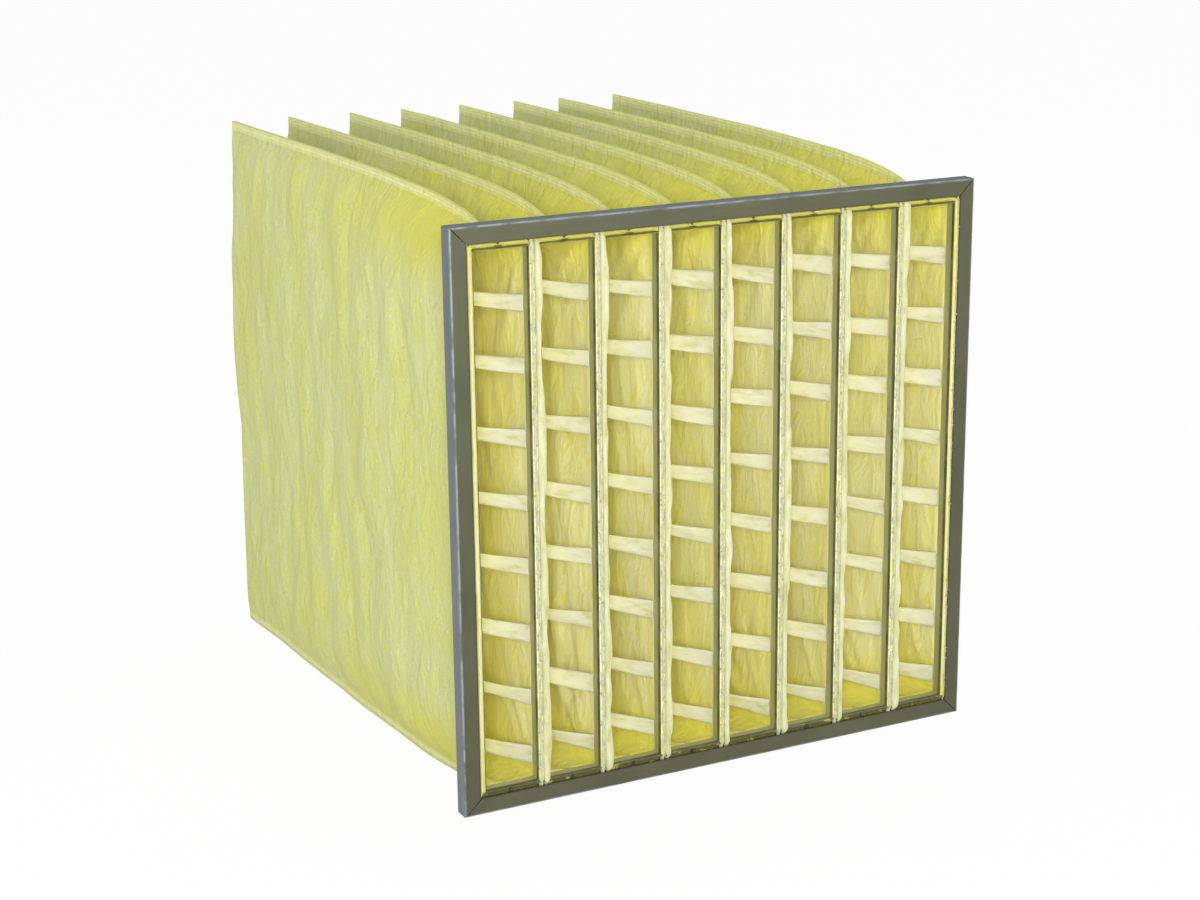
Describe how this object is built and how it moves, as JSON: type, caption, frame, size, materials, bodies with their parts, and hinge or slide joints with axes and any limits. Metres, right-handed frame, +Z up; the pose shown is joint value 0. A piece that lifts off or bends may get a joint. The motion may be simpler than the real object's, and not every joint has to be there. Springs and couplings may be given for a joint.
{
  "type": "bag air filter",
  "caption": "Square ventilation bag filter: a galvanised channel header with upright strip-framed pockets of yellow fabric, open at the front and held in shape by ribbons.",
  "frame": {"origin": "on the floor plane, under the middle of the whole filter's box", "axes": "+Z up, the open face of the header looks along -Y, the pockets trail along +Y"},
  "size_m": [0.592, 0.75, 0.6368],
  "materials": {
    "header_steel": "dull galvanised sheet",
    "strip_steel": "thin galvanised strip with a greenish cast",
    "media": "matt yellow non-woven media with cream ribbons"
  },
  "bodies": {
    "root": {"header_top_rail": "header_steel", "header_right_rail": "header_steel", "header_bottom_rail": "header_steel", "header_left_rail": "header_steel", "pocket_frame_1": "strip_steel", "pocket_1": "media", "pocket_frame_2": "strip_steel", "pocket_2": "media", "pocket_frame_3": "strip_steel", "pocket_3": "media", "pocket_frame_4": "strip_steel", "pocket_4": "media", "pocket_frame_5": "strip_steel", "pocket_5": "media", "pocket_frame_6": "strip_steel", "pocket_6": "media", "pocket_frame_7": "strip_steel", "pocket_7": "media", "pocket_frame_8": "strip_steel", "pocket_8": "media"}
  },
  "joints": []
}
